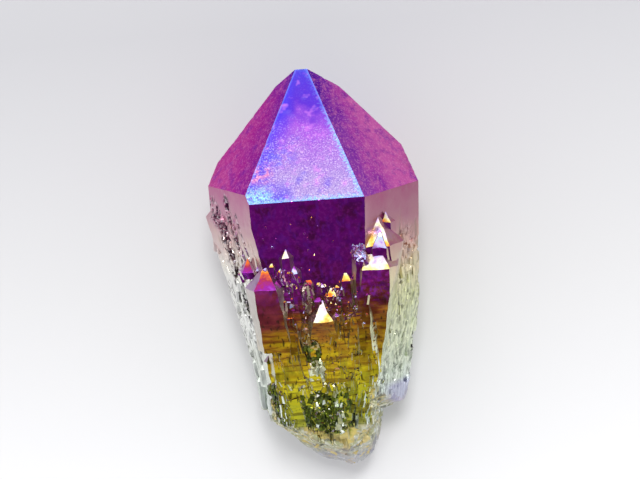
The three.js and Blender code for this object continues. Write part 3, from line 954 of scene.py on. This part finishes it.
def side_crystals():
    """Each crystal is worked out from its planes, and each face knows which plane it is on."""
    random = np.random.default_rng(11)
    points, faces, clean, kinds, tints, azimuth, drops, count = [], [], [], [], [], [], [], 0
    rows = [(row, PLACED_CUT) for row in (*CORNER_CRYSTALS[1:], *FACE_CRYSTALS)]
    rows += [(row, 1.0) for row in (*RIBS, *sown)]
    for (x, y, z, reach, lean, length, tint_here), cut_share in rows:
        planes, plane_kinds = crystal_planes(x, y, z, reach, lean, length)
        on_tip = (plane_kinds >= 6) & (plane_kinds < END_FACE)
        planes[on_tip, 3] -= reach * cut_share * random.uniform(0, TIP_CUT)
        its_points, its_faces, owners = flat_faced(planes)
        points.append(its_points)
        faces += [(face + count).tolist() for face in its_faces]
        clean += [cut_share < 1 and reach > CLEAN_REACH] * len(owners)
        kinds.append(plane_kinds[owners])
        tints.append(np.full(len(owners), tint_here))
        azimuth.append(np.full(len(owners), math.degrees(math.atan2(x, z))))
        drops.append(np.clip((y - its_points[:, 1]) / (reach * math.tan(TIP_ANGLE)), 0, 1))
        count += len(its_points)
    points, kinds, tints, azimuth, drops = map(np.concatenate, (points, kinds, tints, azimuth, drops))
    return clean, points, faces, *small_values(points, drops, kinds, azimuth, tints, 0)


LONGEST_EDGE = 0.6
SPLITTING_ROUNDS = 6
SHARP_FROM = 20  # degrees
WARP = ((1.6, 0.16), (0.6, 0.06))  # grain in mm, and how far it moves the surface


def roughened(mesh):
    """Splits the edges until none is longer than LONGEST_EDGE, then moves each point by smooth noise
    of its place, so that edges waver and faces are not quite flat."""
    fine = bmesh.new()
    fine.from_mesh(mesh)
    bmesh.ops.triangulate(fine, faces=fine.faces)
    for _ in range(SPLITTING_ROUNDS):
        long_edges = [edge for edge in fine.edges if edge.calc_length() > LONGEST_EDGE * MM]
        bmesh.ops.subdivide_edges(fine, edges=long_edges, cuts=1, use_grid_fill=False)
        bmesh.ops.triangulate(fine, faces=fine.faces)
    fine.to_mesh(mesh)
    fine.free()
    mesh.validate()  # drops the few slivers that the splitting has doubled
    places = np.empty(len(mesh.vertices) * 3)
    mesh.vertices.foreach_get("co", places)
    places = places.reshape(-1, 3)
    for size, far in WARP:
        shift = [mottle(places / MM, size, turn) for turn in (size, size + 1, size + 2)]
        places += far * MM * np.stack(shift, -1)
    places[:, 2] = np.maximum(places[:, 2], 0)
    mesh.vertices.foreach_set("co", places.ravel())
    mesh.shade_smooth()
    mesh.set_sharp_from_angle(angle=math.radians(SHARP_FROM))


clean_faces, side_points, side_faces, *side_values = side_crystals()
side_piece = make_piece("side_crystals", side_points, side_faces, *side_values)
roughened(side_piece.data)
side_piece.data.materials.append(film)

# ------------------------------------------------------------------ the druse
# Tiny crystals and splinters, up to 1 mm across, that cover the joins between the larger ones and
# the hollow at the root, and wide low ones that make the growth steps. They are the same quartz
# and film, and stand nearly parallel, so that many of them glint together.

RING_REACH = 1 / math.cos(math.radians(30))  # a hexagon's corners, for faces at distance 1
sixth = np.arange(6)
following = (sixth + 1) % 6
APEX, RING, FOOT, CORNERS = 0, 1, 7, 13
TIP_FACES = np.stack([np.full(6, APEX), RING + sixth, RING + following], -1)
SHAFT_FACES = np.concatenate([
    np.stack([RING + sixth, FOOT + sixth, FOOT + following], -1),
    np.stack([RING + sixth, FOOT + following, RING + following], -1)])
FOOT_FACES = np.stack([np.full(4, FOOT), FOOT + np.arange(5, 1, -1), FOOT + np.arange(4, 0, -1)], -1)
SEED_FACES = np.concatenate([TIP_FACES, SHAFT_FACES, FOOT_FACES])

# Count, azimuth from and to, height from and to, reach from and to, share of the reach that
# stands proud, tilt in degrees, length in reaches, tint from and to.
DRUSE = [
    (44, -27, -12, -3.0, 2.6, 0.10, 0.34, 0.80, 28, 3, 0.0, 1.0),    # splinters left of the middle
    (30, -19, -5, -0.8, 2.2, 0.10, 0.30, 0.85, 26, 3, -0.05, 0.18),
    (44, 5, 24, -5.5, -0.3, 0.10, 0.34, 0.80, 28, 3, 0.0, 1.0),      # splinters right of the middle
    (180, 25.5, 30.5, 2.7, 4.8, 0.12, 0.26, 0.95, 22, 2, 0.58, 0.70),  # frosted lump on the right
    (70, -6, 0, -8.0, 0.2, 0.10, 0.26, 0.80, 25, 4, 1.0, 1.6),       # the silvery column
    (40, -26, 30, -6.0, -1.0, 0.10, 0.30, 0.70, 16, 4, 0.0, 1.0),
    (16, -26, 28, 1.0, 9.0, 0.07, 0.16, 0.60, 14, 2, 0.0, 0.7),      # specks on the smooth face
    (90, -30, 38, -14.0, -5.0, 0.08, 0.26, 0.40, 16, 4, 0.3, 1.0),
    (560, -17, 20, -21.5, -14.0, 0.08, 0.28, 0.80, 30, 3, -0.3, 1.0),  # the glinting hollow
    (36, -12, 8, -21.0, -15.0, 0.08, 0.20, 0.85, 30, 3, 1.3, 1.9),
    (40, 9, 17, -21.5, -15.0, 0.10, 0.24, 0.85, 30, 4, 1.2, 1.8),
    (100, -8, 1, -10.8, -7.6, 0.08, 0.24, 0.80, 30, 3, 0.4, 0.9),    # the groove above it
    (220, -8, 2, -14.8, -10.6, 0.08, 0.26, 0.85, 30, 3, 1.4, 1.9),   # silvery crystals between them
    (110, -42, -33, -19.8, -14.0, 0.08, 0.24, 0.80, 30, 3, 0.52, 0.74),  # the groove on the left
    (40, -33, -24, -20.5, -13.0, 0.10, 0.26, 0.70, 20, 4, 0.3, 1.0),
    (80, 22, 42, -21.0, -12.0, 0.10, 0.30, 0.60, 16, 4, 0.0, 1.0),
    (30, 62, 84, -1.0, 4.5, 0.12, 0.34, 0.80, 30, 3, 0.0, 1.0),      # glints on the right flank
    (90, 50, 96, -17.0, 2.0, 0.10, 0.28, 0.45, 18, 5, 0.0, 1.0),
    (30, -70, -38, -2.0, 5.0, 0.10, 0.28, 0.60, 20, 4, 0.0, 1.0),
    (30, -73, -66, -4.0, 8.0, 0.08, 0.15, 0.70, 35, 3, 0.0, 1.0),    # glints along the crevices
    (24, -63, -52, 2.0, 9.5, 0.08, 0.15, 0.70, 35, 3, 0.0, 1.0),
    (80, -96, -42, -18.0, 6.0, 0.10, 0.28, 0.45, 18, 5, 0.0, 1.0),
    (300, 100, 260, -20.0, 6.0, 0.14, 0.46, 0.55, 18, 4, 0.0, 1.0),
]
# Growth steps: wide flat crystals one over the other down the front and the ribs.
STEPS = [
    (50, -30, 38, -20.0, -3.0, 0.30, 0.95, 0.05, 0, 5, 0.85, 1.0),
    (60, -28, 34, -18.0, -2.0, 0.14, 0.40, 0.25, 3, 6, 0.84, 1.0),
    (160, 110, 250, -19.0, 4.0, 0.40, 1.20, 0.10, 0, 4, 0.85, 1.0),
]
STEP_LEAN = 17
DRUSE_LEAN = 12
LOWEST_FOOT, SHORTEST = -21.0, 0.2  # in mm: they end above the break, but are no shorter
CAST_FROM = 40  # in mm from the axis, well outside
# How much they differ, in reaches: where the apex stands, how uneven the ring is, and how wide
# they are. PROUD_SHARE is of the height that the table gives.
APEX_LOW, APEX_HIGH = (-0.4, 1.0, -0.4), (0.4, 1.5, 0.4)
RING_UNEVEN = 0.25
WIDTHS = (0.7, 1.5)
PROUD_SHARE = (0.5, 1.0)
RECESS_REACH = 0.3  # smaller ones in a hollow take its colour, unless they are silvery


def surface_of(pieces):
    """A tree to cast rays on, in the crystal's own axes in mm."""
    points, faces = [], []
    for its_points, its_faces in pieces:
        faces += [[corner + len(points) for corner in face] for face in its_faces]
        points += its_points.tolist()
    return BVHTree.FromPolygons(points, faces)


def druse(areas, lean, seed):
    """Places a unit crystal many times: each is scaled to its reach, tilted, and set on the surface.

    The unit crystal is an apex, a ring of six corners one reach out and a foot of six more, which
    is drawn in towards the long axis by the lean in degrees. Its place comes from a ray cast at
    the axis."""
    lean = math.tan(math.radians(lean))
    random = np.random.default_rng(seed)
    table = np.concatenate([np.repeat([row[1:]], row[0], 0) for row in areas]).astype(float)
    azimuth, y = random.uniform(table[:, 0], table[:, 1]), random.uniform(table[:, 2], table[:, 3])
    out = outward(np.radians(azimuth))
    cast = [tree.ray_cast(Vector(o * CAST_FROM + (0, h, 0)), Vector(-o)) for o, h in zip(out, y)]
    total = len(table)
    on = np.array([place if place is not None else (0, h, 0) for (place, *_), h in zip(cast, y)])
    reach = random.uniform(table[:, 4], table[:, 5])
    proud = table[:, 6] * random.uniform(*PROUD_SHARE, total)
    tint = random.uniform(table[:, 9], table[:, 10])
    length = np.minimum(table[:, 8], np.maximum(y - LOWEST_FOOT, SHORTEST) / reach)
    ring = outward(np.radians(60 * sixth - 30)) * RING_REACH
    foot = np.broadcast_to(ring, (total, 6, 3)) - (out * lean * length[:, None])[:, None]
    foot = foot - (length[:, None, None] * (0, 1, 0))
    apex = random.uniform(APEX_LOW, APEX_HIGH, (total, 3))
    apex = apex * (1, math.tan(TIP_ANGLE), 1)
    uneven = random.uniform(-RING_UNEVEN, RING_UNEVEN, (total, 6, 1))
    top = np.broadcast_to(ring, (total, 6, 3)) + uneven * (0, 1, 0)
    unit = np.concatenate([apex[:, None], top, foot], 1)
    unit[..., 0] *= random.uniform(*WIDTHS, total)[:, None]
    tilt = np.radians(random.uniform(-1, 1, (total, 3)) * table[:, 7, None])
    turned_unit = unit + np.cross(tilt[:, None], unit)
    middle = on + out * ((proud - 1) * reach)[:, None]
    points = middle[:, None] + turned_unit * reach[:, None, None]
    faces = (SEED_FACES + CORNERS * np.arange(total)[:, None, None]).reshape(-1, 3)

    kinds = np.concatenate([sixth + 6, sixth, sixth, np.full(4, END_FACE)])
    kinds = np.broadcast_to(kinds, (total, len(kinds))).ravel()
    each = np.repeat(np.arange(total), len(SEED_FACES))
    drops = np.tile(np.arange(CORNERS) > APEX, total).astype(float)
    points = points.reshape(-1, 3)
    recess = in_hollow(azimuth, y) & (tint < 1) & (reach < RECESS_REACH)
    values = small_values(points, drops, kinds, azimuth[each], tint[each], recess[each])
    return points, faces.tolist(), *values


covered_faces = [face for face, clean in zip(side_faces, clean_faces) if not clean]
tree = surface_of([(crystal_points, crystal_faces), (side_points, covered_faces)])
step_piece = make_piece("growth_steps", *druse(STEPS, STEP_LEAN, 3))
step_piece.data.materials.append(film)
druse_piece = make_piece("druse", *druse(DRUSE, DRUSE_LEAN, 8))
druse_piece.data.materials.append(film)

# ------------------------------------------------------------------ floor, lights and camera

FLOOR_HALF = 2.0
floor_mesh = bpy.data.meshes.new("floor")
floor_corners = [(s * FLOOR_HALF, t * FLOOR_HALF, 0) for s, t in ((-1, -1), (1, -1), (1, 1), (-1, 1))]
floor_mesh.from_pydata(floor_corners, [], [(0, 1, 2, 3)])
floor_look = bpy.data.materials.new("pale_floor")
lay = shader_of(floor_look)
# Painted light: the floor is paler towards the root, in place of a lamp on that side.
PALER_OVER = 35 * MM  # the floor turns paler towards the root, this far to each side of the middle
along_floor = lay("SeparateXYZ", {0: lay("TexCoord", out=3)}, 1)
forward = lay("MapRange", {0: along_floor, 1: PALER_OVER, 2: -PALER_OVER})
pale = lay("ValToRGB", {0: forward}, stops=[(0.0, "#c0c0c2"), (0.5, "#d6d6d6"), (1.0, "#eaeaea")])
lay("OutputMaterial", {0: lay("BsdfPrincipled", {"Base Color": pale, "Roughness": 0.9})})
floor_mesh.materials.append(floor_look)
put_in_scene("floor", floor_mesh)

world = bpy.data.worlds.new("studio")
sky = shader_of(world)
upward = sky("SeparateXYZ", {0: sky("TexCoord")}, 2)
shine = sky("ValToRGB", {0: upward}, stops=[(0.0, "#ffffff"), (0.6, "#ececf0"), (1.0, "#84848a")])
sky("OutputWorld", {0: sky("Background", {0: shine, 1: 1.17})})
bpy.context.scene.world = world


def softbox(name, direction, distance, size, power):
    """A square lamp that faces the crystal from a direction."""
    lamp = bpy.data.lights.new(name, "AREA")
    lamp.shape, lamp.size, lamp.energy = "SQUARE", size, power
    lamp_object = put_in_scene(name, lamp)
    towards = np.array(direction) / np.linalg.norm(direction)
    lamp_object.location = towards * distance
    lamp_object.rotation_mode = "QUATERNION"
    lamp_object.rotation_quaternion = Vector(towards).to_track_quat("Z", "Y")


softbox("apex_softbox", (-0.10, 0.82, 0.56), 0.6, 0.5, 0.90)
softbox("key_softbox", (0.12, 0.36, 0.93), 0.8, 0.22, 3.0)
softbox("root_softbox", (0.0, -0.95, 0.30), 0.4, 0.3, 0.1)

# The camera starts square to the front face. It is turned to the right, raised towards the apex
# and rolled, and then drawn back along its own axis.
CAMERA_DISTANCE = 275 * MM
CAMERA_TURN, CAMERA_RISE, CAMERA_ROLL = (math.radians(angle) for angle in (6.0, 10.61, 5.06))
aim = Matrix.Translation(AXES_AT * MM)
for angle, axis in ((REST_TILT, "X"), (CAMERA_TURN, "Y"), (-CAMERA_RISE, "X"), (-CAMERA_ROLL, "Z")):
    aim @= Matrix.Rotation(angle, 4, axis)
camera_data = bpy.data.cameras.new("camera")
camera_data.lens = 112.5
camera_data.shift_x, camera_data.shift_y = 0.001, 0.0414
camera_data.clip_start = 0.01
camera = put_in_scene("camera", camera_data)
camera.matrix_world = aim @ Matrix.Translation((0, 0, CAMERA_DISTANCE))
bpy.context.scene.camera = camera
bpy.context.scene.view_settings.view_transform = "Standard"
